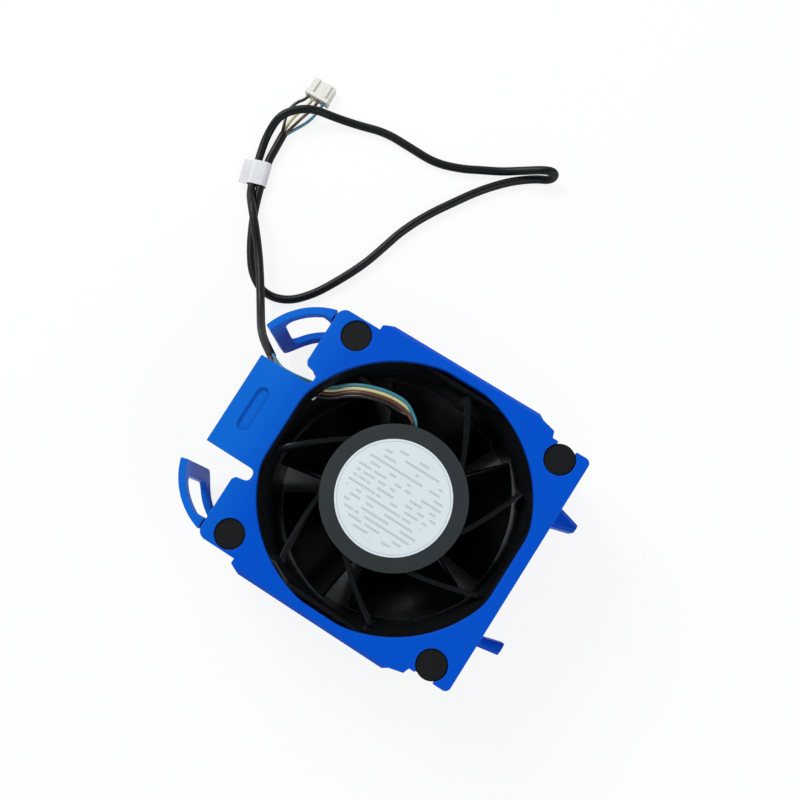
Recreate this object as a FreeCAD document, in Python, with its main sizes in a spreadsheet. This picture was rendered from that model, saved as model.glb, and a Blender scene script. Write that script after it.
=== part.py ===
import FreeCAD, Part
import math
import os
import re
import Sketcher

# Server fan module: an axial fan in a clip-in carrier, with its lead and connector.
# Millimetres. The origin is on the fan axis at the rear face, +Z towards the carrier's front plate,
# -X towards the finger handle and +X towards the locating prongs.

SIZES = {
    # fan housing
    "fan_side": 80.0, "fan_depth": 38.0, "flange_thick": 4.0, "hole_pitch": 71.5, "screw_hole": 2.25,
    "isolator_hole": 2.7, "bore_radius": 38.0, "barrel_wall": 1.7, "bell_radius": 41.5, "bell_depth": 6.0,
    "rim_wall": 1.2, "corner_round": 4.0,
    # fixed motor hub and its guide vanes
    "hub_radius": 22.75, "hub_drop": 1.1, "hub_roof": 2.0, "hub_wall": 1.6, "hub_skirt": 7.4,
    "vane_count": 7, "vane_thick": 1.5, "vane_depth": 6.6, "vane_lean": 33.0, "vane_start": 104.5,
    "label_radius": 18.0, "label_thick": 0.12,
    # impeller and rotor
    "rotor_gap": 0.6, "tip_gap": 0.6, "impeller_radius": 22.4, "impeller_wall": 1.5, "impeller_base": 3.0,
    "impeller_floor": 2.0, "blade_count": 5, "blade_thick": 1.5, "blade_hub_stagger": 45.0,
    "blade_tip_stagger": 62.0, "blade_margin": 0.6, "blade_camber": 2.6,
    "cup_wall": 1.0, "magnet_wall": 2.2, "magnet_length": 19.0, "air_gap": 0.4,
    # shaft, bearings and their tube
    "shaft_radius": 1.5, "bearing_radius": 4.0, "bearing_width": 4.0, "ring_wall": 0.7, "ball_radius": 0.75,
    "ball_count": 7, "bearing_fit": 0.02, "tube_wall": 1.0, "tube_shoulder": 0.6, "bush_radius": 3.2,
    "bush_length": 7.0, "tube_below": 0.6, "spring_length": 3.5, "spring_wire": 0.5, "spring_turns": 3,
    "shield_thick": 0.2, "washer_thick": 0.3, "clip_thick": 0.4, "clip_radius": 2.6, "shaft_tail": 0.35,
    "shaft_land": 0.35,
    # stator
    "core_length": 11.0, "core_ring": 3.0, "tooth_count": 6, "tooth_width": 3.0, "shoe_depth": 1.7,
    "shoe_slot": 2.6, "insulator_thick": 1.0, "coil_side": 1.8, "coil_start": 9.2, "coil_end": 14.6,
    "core_lift": 6.5,
    # circuit board
    "board_thick": 1.2, "board_gap": 0.5, "board_rise": 0.9, "post_radius": 0.8, "post_circle": 8.0,
    "sensor_side": 3.0, "sensor_height": 1.4, "driver_length": 6.0, "driver_width": 5.0,
    "driver_height": 1.5, "part_circle": 14.5, "can_radius": 1.9, "can_height": 2.7,
    "resistor_length": 1.6, "resistor_width": 0.9, "resistor_height": 0.5,
    # rubber isolators
    "pad_radius": 4.65, "pad_fit": 0.2, "pad_mouth": 6.2, "pad_sink": 0.6, "neck_fit": 0.05,
    "bulb_bulge": 0.65, "bulb_taper": 1.55, "bulb_length": 2.5,
    # carrier
    "plate_gap": 0.3, "plate_thick": 2.7, "plate_left": 44.4, "plate_right": 43.9, "plate_fit": 0.2,
    "corner_rim": 1.0, "left_round": 3.0, "right_round": 1.8, "notch_round": 1.7, "bulge_rise": 4.4,
    "bulge_left": 27.2, "bulge_right": 23.9, "bulge_ramp": 3.4, "carrier_wall": 2.2, "wall_gap": 0.7,
    "open_land": 4.2, "open_half_x": 39.8, "open_half_y": 41.0, "open_round": 16.0, "block_end": 21.4,
    "notch_depth": 4.9, "notch_top": 19.4, "edge_break": 1.2, "lip_thick": 1.7, "lip_reach": 3.2,
    "lip_width": 10.0, "lip_gap": 0.3, "flange_half": 15.6, "flange_reach": 57.4, "flange_lip": 8.5,
    "flange_lip_wall": 1.6, "grip_length": 15.0, "grip_width": 4.4, "grip_depth": 1.0, "grip_reach": 52.6,
    "rib_wall": 1.6,
    # prongs
    "prong_reach": 9.0, "prong_low": 11.0, "prong_high": 21.0, "upper_prong_y": 23.0, "lower_prong_y": -23.6,
    "prong_base": 8.2, "prong_tip": 2.8, "tab_base": 3.2, "tab_tip": 4.2, "tab_lean": 2.2,
    # squeeze arms
    "arm_wall": 2.2, "arm_start_x": 45.0, "arm_start_y": 39.6, "arm_mid_x": 55.6, "arm_mid_y": 33.5,
    "arm_tip_x": 61.3, "arm_tip_y": 24.2, "arm_low": 1.0, "arm_drop": 0.4, "arm_sill": 6.5, "arm_lintel": 4.5,
    "arm_tip_land": 5.2, "arm_root_land": 2.2, "arm_tip_round": 7.0, "window_round": 3.0,
    "knuckle_radius": 1.3, "knuckle_fit": 0.05, "knuckle_x": 42.7, "knuckle_y": 37.4, "neck_wall": 1.6,
    # openings for the lead in the housing
    "gate_y": 16.1, "gate_width": 7.2, "gate_drop": 5.3, "gate_height": 2.3, "gate_length": 8.5,
    "slot_side": 4.4, "slot_width": 4.2, "slot_drop": 6.0, "slot_height": 3.9, "slot_length": 3.4,
    "way_width": 8.0,
    # lead and connector
    "wire_diameter": 1.1, "wire_step": 1.15, "sleeve_diameter": 2.9, "tag_length": 8.6, "tag_wall": 0.2,
    "tag_slack": 0.25, "tag_flag": 3.0, "plug_width": 8.6, "plug_length": 6.4, "plug_height": 4.4,
    "pin_count": 4, "pin_pitch": 2.0, "pin_width": 1.1, "cavity_fit": 0.15, "plug_x": -100.2,
    "plug_y": 107.2,
}

# Sizes that follow from the ones above.
DERIVED = {
    "carrier_depth": "fan_depth + plate_gap + plate_thick",
    "plate_half": "fan_side / 2 + plate_fit",
    "bulge_half": "fan_side / 2 + plate_fit + bulge_rise",
    "left_half": "fan_side / 2 + plate_fit + corner_rim",
    "open_radius": "hole_pitch / sqrt(2) - pad_radius - pad_fit - open_land",
}

doc = FreeCAD.newDocument("server_fan_module")
sheet = doc.addObject("Spreadsheet::Sheet", "sizes")
for row, (alias, value) in enumerate([*SIZES.items(), *DERIVED.items()], start=1):
    sheet.set(f"A{row}", alias)
    sheet.set(f"B{row}", "=" + value if alias in DERIVED else str(value))
    sheet.setAlias(f"B{row}", alias)
doc.recompute()


class Sizes:
    """Reads a size from the sheet by its alias."""

    def __getattr__(self, alias):
        return sheet.get(alias)


size = Sizes()
V = FreeCAD.Vector
UP = V(0, 0, 1)
sub_parts = []


# ---- helpers -------------------------------------------------------------------------------------

def on_sheet(text):
    """Turns plain size names in a formula into references to the sheet."""
    def refer(match):
        word = match.group(0)
        return "sizes." + word if word in SIZES or word in DERIVED else word

    return re.sub(r"[a-z][a-z_0-9]*", refer, str(text))


def bind(thing, **formulas):
    for name, formula in formulas.items():
        thing.setExpression(name.replace("__", "."), on_sheet(formula))


def keep(thing, label):
    """Marks a finished object as the sub-part called label."""
    thing.Label = label
    sub_parts.append(thing)
    return thing


def block(name, x, y, z, lx, ly, lz):
    """A box from its low corner and its three lengths."""
    box = doc.addObject("Part::Box", name)
    bind(box, Length=lx, Width=ly, Height=lz, Placement__Base__x=x, Placement__Base__y=y,
         Placement__Base__z=z)
    return box


def rod(name, radius, z, height, x="0", y="0"):
    """An upright cylinder from z up."""
    cylinder = doc.addObject("Part::Cylinder", name)
    bind(cylinder, Radius=radius, Height=height, Placement__Base__x=x, Placement__Base__y=y,
         Placement__Base__z=z)
    return cylinder


def fuse(name, things):
    union = doc.addObject("Part::MultiFuse", name)
    union.Shapes = things
    return union


def cut(name, base, tool):
    result = doc.addObject("Part::Cut", name)
    result.Base = base
    result.Tool = tool
    return result


def common(name, base, tool):
    result = doc.addObject("Part::Common", name)
    result.Base = base
    result.Tool = tool
    return result


def compound(name, things):
    group = doc.addObject("Part::Compound", name)
    group.Links = things
    return group


def solid(name, shape):
    """A shape made by code from the sheet's sizes."""
    feature = doc.addObject("Part::Feature", name)
    place = shape.Placement
    feature.Shape = shape
    feature.Placement = place
    return feature


def plane_of(body, role):
    return next(plane for plane in body.Origin.OriginFeatures if plane.Role == role)


def sketch(body, name, role, loops, offset="0"):
    """A sketch of closed straight-sided loops and circles, every point bound to the sheet."""
    drawing = body.newObject("Sketcher::SketchObject", name)
    drawing.AttachmentSupport = [(plane_of(body, role), "")]
    drawing.MapMode = "FlatFace"
    bind(drawing, AttachmentOffset__Base__z=offset)
    for loop in loops:
        if loop[0] == "circle":
            add_circle(drawing, *loop[1:])
        else:
            add_polygon(drawing, loop)
    return drawing


def add_circle(drawing, x, y, radius):
    index = drawing.addGeometry(Part.Circle(V(0.1, 0.1, 0), UP, 1.0))
    pin_point(drawing, index, 3, x, y)
    number = drawing.addConstraint(Sketcher.Constraint("Radius", index, 1.0))
    drawing.setExpression(f"Constraints[{number}]", on_sheet(radius))


def add_polygon(drawing, points):
    first = drawing.GeometryCount
    count = len(points)
    rough = [V(10 * math.cos(2 * math.pi * i / count), 10 * math.sin(2 * math.pi * i / count), 0)
             for i in range(count)]
    for i in range(count):
        drawing.addGeometry(Part.LineSegment(rough[i], rough[(i + 1) % count]))
    for i in range(count):
        drawing.addConstraint(Sketcher.Constraint("Coincident", first + i, 2, first + (i + 1) % count, 1))
    for i, (x, y) in enumerate(points):
        pin_point(drawing, first + i, 1, x, y)


def pin_point(drawing, index, end, x, y):
    """Holds one point of a sketch at x, y from its origin."""
    for kind, formula in (("DistanceX", x), ("DistanceY", y)):
        number = drawing.addConstraint(Sketcher.Constraint(kind, -1, 1, index, end, 1.0))
        drawing.setExpression(f"Constraints[{number}]", on_sheet(formula))


def new_body(name):
    return doc.addObject("PartDesign::Body", name)


def pad(body, drawing, length):
    feature = body.newObject("PartDesign::Pad", drawing.Name + "_pad")
    feature.Profile = drawing
    bind(feature, Length=length)
    return feature


def turned(name, points):
    """A body turned about the Z axis from a half-section of radius and height formulas."""
    body = new_body(name)
    drawing = sketch(body, name + "_section", "XZ_Plane", [points])
    feature = body.newObject("PartDesign::Revolution", name + "_turn")
    feature.Profile = drawing
    feature.ReferenceAxis = (drawing, ["V_Axis"])
    feature.Angle = 360
    return body


def rounded(body, name, base, corners, radius):
    """Rounds the upright edges of a pad that stand at the given x, y formulas."""
    doc.recompute()
    places = [(number(x), number(y)) for x, y in corners]
    edges = [f"Edge{i}" for i, edge in enumerate(base.Shape.Edges, start=1)
             if abs(edge.tangentAt(edge.FirstParameter).z) > 0.9
             and any(math.dist(edge.CenterOfMass[:2], place) < 0.01 for place in places)]
    rounding = body.newObject("PartDesign::Fillet", name)
    rounding.Base = (base, edges)
    bind(rounding, Radius=radius)
    return rounding


def number(formula):
    """The value of a formula on the sheet's sizes, read back through a cell."""
    sheet.set("D1", "=" + formula)
    doc.recompute([sheet], True)
    return float(sheet.get("D1"))


def ring(name, inner, outer, low, high):
    """A plain ring, as a turned body."""
    return turned(name, [(inner, low), (outer, low), (outer, high), (inner, high)])


def at_angle(radius, degrees, z=0.0):
    return V(radius * math.cos(math.radians(degrees)), radius * math.sin(math.radians(degrees)), z)


def prism(points, low, high):
    """An upright prism on a closed outline; an entry of three points is an arc through them."""
    edges = []
    for entry in points:
        edges.append(Part.Arc(*entry).toShape() if len(entry) == 3 else Part.LineSegment(*entry).toShape())
    face = Part.Face(Part.Wire(edges))
    face.translate(V(0, 0, low))
    return face.extrude(V(0, 0, high - low))


def mirrored(shape):
    """The same shape on the other side of the XZ plane."""
    return shape.mirror(V(0, 0, 0), V(0, 1, 0))


def cord(name, route, diameter):
    """A round tube on straight runs joined by tangent arcs; prints its smallest radius."""
    points = [V(*point) for point in route]
    edges, radii = [], []
    start = points[0]
    for before, corner, after in zip(points, points[1:], points[2:]):
        back, ahead = (before - corner).normalize(), (after - corner).normalize()
        turn = math.pi - back.getAngle(ahead)
        reach = 0.45 * min(before.distanceToPoint(corner), after.distanceToPoint(corner))
        radii.append(reach / math.tan(turn / 2))
        enter, leave = corner + back * reach, corner + ahead * reach
        inward = (back + ahead).normalize()
        middle = corner + inward * (radii[-1] / math.cos(turn / 2) - radii[-1])
        edges += [Part.LineSegment(start, enter).toShape(), Part.Arc(enter, middle, leave).toShape()]
        start = leave
    edges.append(Part.LineSegment(start, points[-1]).toShape())
    path = Part.Wire(edges)
    section = Part.Wire(Part.makeCircle(diameter / 2, points[0], points[1] - points[0]))
    tube = path.makePipeShell([section], True, False, 2)
    share = tube.Volume / (math.pi * diameter ** 2 / 4 * path.Length)
    print(f"{name}: length {path.Length:.1f}, volume share {share:.4f}, least radius {min(radii):.1f} "
          f"at turn {radii.index(min(radii)) + 1}, radii {[round(r, 1) for r in radii]}")
    return tube


# ---- fan housing ---------------------------------------------------------------------------------

# The four lips that hold the housing's rear edge: their centres along X, and how near to the axis
# their seats in the housing and the lips themselves come.
LIP_X = ("-15", "13")
SEAT_EDGE = "(fan_side / 2 - lip_reach + lip_gap)"
LIP_EDGE = f"({SEAT_EDGE} + lip_gap)"


def vane(angle):
    """One guide vane: a wall that leans round as it runs out from the hub to the bore."""
    inner, outer = size.hub_radius - 0.8, size.bore_radius + 0.6
    start = at_angle(inner, angle)
    end = at_angle(outer, angle + size.vane_lean)
    middle = at_angle((inner + outer) / 2 - 0.6, angle + size.vane_lean * 0.62)
    across = (end - start).cross(UP).normalize() * (size.vane_thick / 2)
    top = size.fan_depth - size.hub_drop - 0.4
    return prism([(start + across, middle + across, end + across), (end + across, end - across),
                  (end - across, middle - across, start - across), (start - across, start + across)],
                 top - size.vane_depth, top)


def rounded_flange(name, z):
    body = new_body(name)
    half = "fan_side / 2"
    drawing = sketch(body, name + "_outline", "XY_Plane",
                     [[(half, half), ("-" + half, half), ("-" + half, "-" + half), (half, "-" + half)]], z)
    flange = pad(body, drawing, "flange_thick")
    corners = [(x + half, y + half) for x in ("", "-") for y in ("", "-")]
    rounded(body, name + "_corners", flange, corners, "corner_round")
    return body


def bell_mouth(name, z, facing):
    """The flare at one end of the bore, which the square sides of the housing cut off."""
    cone = doc.addObject("Part::Cone", name + "_cone")
    low, high = ("bore_radius", "bell_radius") if facing > 0 else ("bell_radius", "bore_radius")
    bind(cone, Radius1=low, Radius2=high, Height="bell_depth", Placement__Base__z=z)
    half = "fan_side / 2 - rim_wall"
    square = block(name + "_square", f"-({half})", f"-({half})", z, f"2 * ({half})", f"2 * ({half})",
                   "bell_depth")
    return common(name, cone, square)


def make_fan_housing():
    front = rounded_flange("front_flange", "fan_depth - flange_thick")
    rear = rounded_flange("rear_flange", "0")
    barrel = rod("barrel", "bore_radius + barrel_wall", "flange_thick / 2", "fan_depth - flange_thick")
    shell = fuse("housing_blank", [front, rear, barrel])
    half = "hole_pitch / 2"
    holes = []
    for i, (sx, sy) in enumerate((("", ""), ("-", ""), ("-", "-"), ("", "-"))):
        holes.append(rod(f"screw_hole_{i}", "screw_hole", "-1", "flange_thick + 2", sx + half, sy + half))
        holes.append(rod(f"isolator_hole_{i}", "isolator_hole", "fan_depth - flange_thick - 1",
                         "flange_thick + 2", sx + half, sy + half))
    seats = [block(f"lip_seat_{side}_{i}", f"{x} - lip_width / 2 - lip_gap", y, "-1",
                   "lip_width + 2 * lip_gap", "lip_reach + 1", "1 + lip_thick + lip_gap")
             for i, x in enumerate(LIP_X)
             for side, y in (("upper", SEAT_EDGE), ("lower", f"-{SEAT_EDGE} - lip_reach - 1"))]
    wire_hole = block("wire_hole", "-fan_side / 2 - 1", "gate_y - gate_width / 2", "fan_depth - gate_drop",
                      "gate_length", "gate_width", "gate_height")
    bore = rod("bore", "bore_radius", "-1", "fan_depth + 2")
    cuts = fuse("housing_cuts", [bore, bell_mouth("front_bell", "fan_depth - bell_depth", 1),
                                 bell_mouth("rear_bell", "0", -1), wire_hole] + holes + seats)
    open_shell = cut("housing_shell", shell, cuts)
    hub = turned("motor_base", [("0", "fan_depth - hub_drop"), ("hub_radius", "fan_depth - hub_drop"),
                                ("hub_radius", "fan_depth - hub_drop - hub_skirt"),
                                ("hub_radius - hub_wall", "fan_depth - hub_drop - hub_skirt"),
                                ("hub_radius - hub_wall", "fan_depth - hub_drop - hub_roof"),
                                ("0", "fan_depth - hub_drop - hub_roof")])
    step = 360.0 / size.vane_count
    vanes = [solid(f"vane_{i}", vane(size.vane_start + i * step)) for i in range(int(size.vane_count))]
    wire_slot = block("wire_slot", "-slot_side - slot_width", "hub_radius - slot_length",
                      "fan_depth - slot_drop", "slot_width", "slot_length + 1", "slot_height")
    wire_way = block("wire_way", "-slot_side - way_width", "hub_radius - slot_length",
                     "fan_depth - slot_drop", "way_width", "bore_radius - hub_radius", "slot_drop")
    vanes[0] = cut("lead_vane", vanes[0], wire_way)
    open_hub = cut("hub_with_slot", hub, wire_slot)
    keep(fuse("housing_with_hub", [open_shell, open_hub] + vanes), "fan_housing")


def make_label():
    body = new_body("label_body")
    drawing = sketch(body, "label_outline", "XY_Plane", [("circle", "0", "0", "label_radius")],
                     "fan_depth - hub_drop")
    pad(body, drawing, "label_thick")
    keep(body, "hub_label")


# ---- shaft, bearings and rotor -------------------------------------------------------------------

# Heights that several pieces share, as formulas on the sheet's sizes.
HUB_ROOF = "(fan_depth - hub_drop - hub_roof)"
ROTOR_TOP = "(fan_depth - hub_drop - hub_skirt - rotor_gap)"
CUP_FLOOR = "(impeller_base + impeller_floor)"
LOW_BEARING = "(impeller_base + impeller_floor + bush_length)"
SHAFT_END = "(fan_depth - hub_drop - hub_roof - shaft_tail)"
HIGH_BEARING = f"({SHAFT_END} - shaft_land - clip_thick - washer_thick - bearing_width)"
HIGH_BEARING_TOP = f"({HIGH_BEARING} + bearing_width)"
TUBE_BORE = "(bearing_radius + bearing_fit)"
TUBE_RADIUS = "(bearing_radius + bearing_fit + tube_wall)"
CUP_RADIUS = "(impeller_radius - impeller_wall)"
MAGNET_RADIUS = "(impeller_radius - impeller_wall - cup_wall)"
CORE_RADIUS = "(impeller_radius - impeller_wall - cup_wall - magnet_wall - air_gap)"
CORE_LOW = f"({CUP_FLOOR} + core_lift)"
CORE_HIGH = f"({CORE_LOW} + core_length)"
BOARD_LOW = "(fan_depth - hub_drop - hub_skirt + board_rise)"
BOARD_HIGH = f"({BOARD_LOW} + board_thick)"


def make_bearing_tube():
    keep(turned("tube_body", [
        (TUBE_BORE, f"{LOW_BEARING} - tube_below"), (TUBE_RADIUS, f"{LOW_BEARING} - tube_below"),
        (TUBE_RADIUS, HUB_ROOF), (TUBE_BORE, HUB_ROOF), (TUBE_BORE, f"{HIGH_BEARING} - spring_length"),
        (f"{TUBE_BORE} - tube_shoulder", f"{HIGH_BEARING} - spring_length"),
        (f"{TUBE_BORE} - tube_shoulder", f"{LOW_BEARING} + bearing_width"),
        (TUBE_BORE, f"{LOW_BEARING} + bearing_width")]), "bearing_tube")


def raceway(name, z):
    """The groove that the balls run in."""
    torus = doc.addObject("Part::Torus", name)
    bind(torus, Radius1="(shaft_radius + bearing_radius) / 2", Radius2="ball_radius + bearing_fit",
         Placement__Base__z=f"{z} + bearing_width / 2")
    return torus


def make_bearing(end, z):
    """One ball bearing: outer ring, inner ring and balls."""
    top = f"{z} + bearing_width"
    outer = ring(f"{end}_outer_blank", "bearing_radius - ring_wall", "bearing_radius", z, top)
    inner = ring(f"{end}_inner_blank", "shaft_radius", "shaft_radius + ring_wall", z, top)
    keep(cut(f"{end}_outer_cut", outer, raceway(f"{end}_outer_groove", z)), f"{end}_bearing_outer_ring")
    keep(cut(f"{end}_inner_cut", inner, raceway(f"{end}_inner_groove", z)), f"{end}_bearing_inner_ring")
    middle = number(z) + size.bearing_width / 2
    pitch = (size.shaft_radius + size.bearing_radius) / 2
    balls = [Part.makeSphere(size.ball_radius, at_angle(pitch, i * 360 / size.ball_count, middle))
             for i in range(int(size.ball_count))]
    keep(solid(f"{end}_balls", Part.makeCompound(balls)), f"{end}_bearing_balls")


def make_shields():
    """Thin rings in the mouths of both bearings, each seated in its outer ring."""
    shields = []
    for end, z in (("lower", LOW_BEARING), ("upper", HIGH_BEARING)):
        for side, low in (("under", z), ("over", f"{z} + bearing_width - shield_thick")):
            shields.append(ring(f"{end}_shield_{side}", "shaft_radius + ring_wall + 0.1",
                                "bearing_radius - ring_wall", low, f"{low} + shield_thick"))
    keep(compound("shields", shields), "bearing_shields")


def make_shaft_parts():
    keep(turned("shaft_body", [
        ("0", "impeller_base + impeller_floor / 2"), ("shaft_radius", "impeller_base + impeller_floor / 2"),
        ("shaft_radius", f"{HIGH_BEARING_TOP} + washer_thick + 0.05"),
        ("shaft_radius - 0.3", f"{HIGH_BEARING_TOP} + washer_thick + 0.05"),
        ("shaft_radius - 0.3", f"{HIGH_BEARING_TOP} + washer_thick + clip_thick + 0.1"),
        ("shaft_radius", f"{HIGH_BEARING_TOP} + washer_thick + clip_thick + 0.1"),
        ("shaft_radius", SHAFT_END), ("0", SHAFT_END)]), "shaft")
    keep(ring("bush_body", "shaft_radius", "bush_radius", CUP_FLOOR, f"{CUP_FLOOR} + bush_length"),
         "shaft_bush")
    keep(ring("washer_body", "shaft_radius + 0.02", "clip_radius", HIGH_BEARING_TOP,
              f"{HIGH_BEARING_TOP} + washer_thick"), "end_washer")
    clip_low = f"{HIGH_BEARING_TOP} + washer_thick + 0.07"
    clip = ring("clip_ring", "shaft_radius - 0.28", "clip_radius - 0.2", clip_low, f"{clip_low} + clip_thick")
    mouth = block("clip_mouth", "0", "-0.9", HIGH_BEARING_TOP, "4", "1.8", "3")
    keep(cut("clip_cut", clip, mouth), "retaining_clip")


def make_spring():
    """The coil that loads the upper bearing, between the tube's shoulder and the outer ring."""
    wire = size.spring_wire
    clear = 0.02
    low = number(f"{HIGH_BEARING} - spring_length") + wire / 2 + clear
    rise = size.spring_length - wire - 2 * clear
    corners = 10
    count = int(size.spring_turns * corners)
    radius = (size.bearing_radius - wire / 2 - 0.2) / math.cos(math.pi / corners)
    route = [tuple(at_angle(radius, 360 * i / corners, low + rise * i / count)) for i in range(count + 1)]
    keep(solid("spring", cord("spring", route, wire)), "preload_spring")


def make_rotor():
    keep(turned("cup_body", [
        ("bush_radius", CUP_FLOOR), (CUP_RADIUS, CUP_FLOOR), (CUP_RADIUS, f"{ROTOR_TOP} - 0.9"),
        (MAGNET_RADIUS, f"{ROTOR_TOP} - 0.9"), (MAGNET_RADIUS, f"{CUP_FLOOR} + cup_wall"),
        ("bush_radius", f"{CUP_FLOOR} + cup_wall")]), "rotor_cup")
    keep(ring("magnet_body", f"{MAGNET_RADIUS} - magnet_wall", MAGNET_RADIUS,
              f"{ROTOR_TOP} - 1.9 - magnet_length", f"{ROTOR_TOP} - 1.9"), "magnet_ring")


def blade_section(radius, stagger, low, high):
    """A cambered blade section across the radius, as a closed wire of two arcs and two end faces."""
    rise = (high - low) / 2
    run = rise * math.tan(math.radians(stagger))
    middle = V(radius, 0, (low + high) / 2)
    chord = V(0, run, rise)
    normal = V(0, rise, -run).normalize()
    half = normal * (size.blade_thick / 2)
    bow = normal * size.blade_camber
    lead, trail = middle - chord, middle + chord
    outer = Part.Arc(lead + half, middle + bow + half, trail + half)
    inner = Part.Arc(trail - half, middle + bow - half, lead - half)
    return Part.Wire([outer.toShape(), Part.LineSegment(trail + half, trail - half).toShape(),
                      inner.toShape(), Part.LineSegment(lead - half, lead + half).toShape()])


def make_impeller():
    low = size.impeller_base + size.blade_margin
    high = number(ROTOR_TOP) - size.blade_margin - 0.5
    tip = size.bore_radius - size.tip_gap
    hub = turned("impeller_hub", [
        ("0", "impeller_base"), ("impeller_radius", "impeller_base"), ("impeller_radius", ROTOR_TOP),
        (CUP_RADIUS, ROTOR_TOP), (CUP_RADIUS, CUP_FLOOR), ("shaft_radius", CUP_FLOOR),
        ("shaft_radius", "impeller_base + impeller_floor / 2"), ("0", "impeller_base + impeller_floor / 2")])
    blade = Part.makeLoft([blade_section(size.impeller_radius - 6, size.blade_hub_stagger - 4, low, high),
                           blade_section(tip + 3, size.blade_tip_stagger, low, high)], True, True)
    annulus = Part.makeCylinder(tip, high - low + 4, V(0, 0, low - 2))
    annulus = annulus.cut(Part.makeCylinder(size.impeller_radius - 0.4, high - low + 8, V(0, 0, low - 4)))
    blade = blade.common(annulus)
    blades = []
    for i in range(int(size.blade_count)):
        copy = blade.copy()
        copy.rotate(V(0, 0, 0), UP, i * 360 / size.blade_count + 20)
        blades.append(solid(f"blade_{i}", copy))
    keep(fuse("impeller_union", [hub] + blades), "impeller")


# ---- stator and circuit board --------------------------------------------------------------------

def tooth_ring(ring_outer, tooth, shoe_outer, shoe_depth, low, high):
    """A ring with teeth and pole shoes round it, for the laminations and their insulators."""
    hub = Part.makeCylinder(ring_outer, high - low, V(0, 0, low))
    pitch = 360 / size.tooth_count
    shoes = Part.makeCylinder(shoe_outer, high - low, V(0, 0, low))
    shoes = shoes.cut(Part.makeCylinder(shoe_outer - shoe_depth, high - low, V(0, 0, low)))
    shape = hub
    for i in range(int(size.tooth_count)):
        bar = Part.makeBox(shoe_outer - shoe_depth / 2, tooth, high - low, V(0, -tooth / 2, low))
        slot = Part.makeBox(shoe_outer, size.shoe_slot, high - low, V(shoe_outer - shoe_depth - 1,
                                                                       -size.shoe_slot / 2, low))
        bar.rotate(V(0, 0, 0), UP, i * pitch)
        slot.rotate(V(0, 0, 0), UP, (i + 0.5) * pitch)
        shape = shape.fuse(bar)
        shoes = shoes.cut(slot)
    shape = shape.fuse(shoes).cut(Part.makeCylinder(number(TUBE_RADIUS), high - low, V(0, 0, low)))
    return shape.removeSplitter()


def make_stator():
    low, high, outer = number(CORE_LOW), number(CORE_HIGH), number(CORE_RADIUS)
    ring_outer = number(TUBE_RADIUS) + size.core_ring
    thick = size.insulator_thick
    keep(solid("core", tooth_ring(ring_outer, size.tooth_width, outer, size.shoe_depth, low, high)),
         "stator_core")
    keep(solid("lower_insulation", tooth_ring(ring_outer, size.tooth_width, outer - 0.7,
                                              size.shoe_depth - 0.4, low - thick, low)), "lower_insulator")
    upper = tooth_ring(ring_outer, size.tooth_width, outer - 0.7, size.shoe_depth - 0.4, high,
                       high + thick)
    for i in range(3):
        foot = at_angle(size.post_circle - 0.2, 30 + i * 120, high)
        upper = upper.fuse(Part.makeCylinder(size.post_radius, number(BOARD_LOW) - high, foot))
    keep(solid("upper_insulation", upper), "upper_insulator")
    keep(solid("windings", Part.makeCompound([coil(i, low - thick, high + thick)
                                              for i in range(int(size.tooth_count))])), "coils")


def coil(index, low, high):
    """The winding on one tooth: a rounded frame round the tooth and its insulators."""
    side = size.coil_side
    half = size.tooth_width / 2 + side
    length = size.coil_end - size.coil_start
    frame = Part.makeBox(length, 2 * half, high - low + 2 * side, V(size.coil_start, -half, low - side))
    edges = [edge for edge in frame.Edges if abs(edge.tangentAt(0).x) > 0.9]
    frame = frame.makeFillet(side * 0.9, edges)
    frame = frame.cut(Part.makeBox(length + 2, size.tooth_width, high - low,
                                   V(size.coil_start - 1, -size.tooth_width / 2, low)))
    frame.rotate(V(0, 0, 0), UP, index * 360 / size.tooth_count)
    return frame


def make_board():
    keep(ring("board_body", f"{TUBE_RADIUS} + 0.1", "hub_radius - hub_wall - board_gap", BOARD_LOW,
              BOARD_HIGH), "circuit_board")
    keep(block("sensor_body", f"{CORE_RADIUS} - sensor_side / 2", "-sensor_side / 2",
               f"{BOARD_LOW} - sensor_height", "sensor_side", "sensor_side", "sensor_height"), "hall_sensor")
    keep(block("driver_body", "-part_circle * 0.8 - driver_length / 2", "-part_circle * 0.9", BOARD_HIGH,
               "driver_length", "driver_width", "driver_height"), "driver_chip")
    cans = [rod(f"can_{angle}", "can_radius", BOARD_HIGH, "can_height",
                f"1.13 * part_circle * cos({angle})", f"1.13 * part_circle * sin({angle})")
            for angle in (-48, -28)]
    keep(compound("cans", cans), "capacitors")
    resistors = [block(f"resistor_{i}", f"part_circle * cos({angle})", f"part_circle * sin({angle})",
                       BOARD_HIGH, "resistor_length", "resistor_width", "resistor_height")
                 for i, angle in enumerate((162, 146, -12, 17))]
    keep(compound("small_chips", resistors), "chip_resistors")


# ---- carrier -------------------------------------------------------------------------------------

PLATE_LOW = "(carrier_depth - plate_thick)"


def plate_outline():
    """Upper half of the plate's outline from right to left, then the lower half mirrored."""
    upper = [("plate_right", "plate_half"), ("bulge_right + 2 * bulge_ramp", "plate_half"),
             ("bulge_right + 1.8 * bulge_ramp", "bulge_half - 2.4"),
             ("bulge_right + 0.5 * bulge_ramp", "bulge_half - 1.3"),
             ("bulge_right", "bulge_half"), ("-bulge_left", "bulge_half"),
             ("-bulge_left - bulge_ramp", "bulge_half - 1.8"), ("-bulge_left - bulge_ramp", "left_half"),
             ("-plate_left", "left_half"), ("-plate_left", "block_end"),
             ("-plate_left + 0.8", "block_end - 1.2"), ("-plate_left + notch_depth", "notch_top"),
             ("-plate_left + notch_depth", "flange_half"), ("-flange_reach", "flange_half")]
    return upper + [(x, f"-({y})") for x, y in reversed(upper)]


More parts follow.
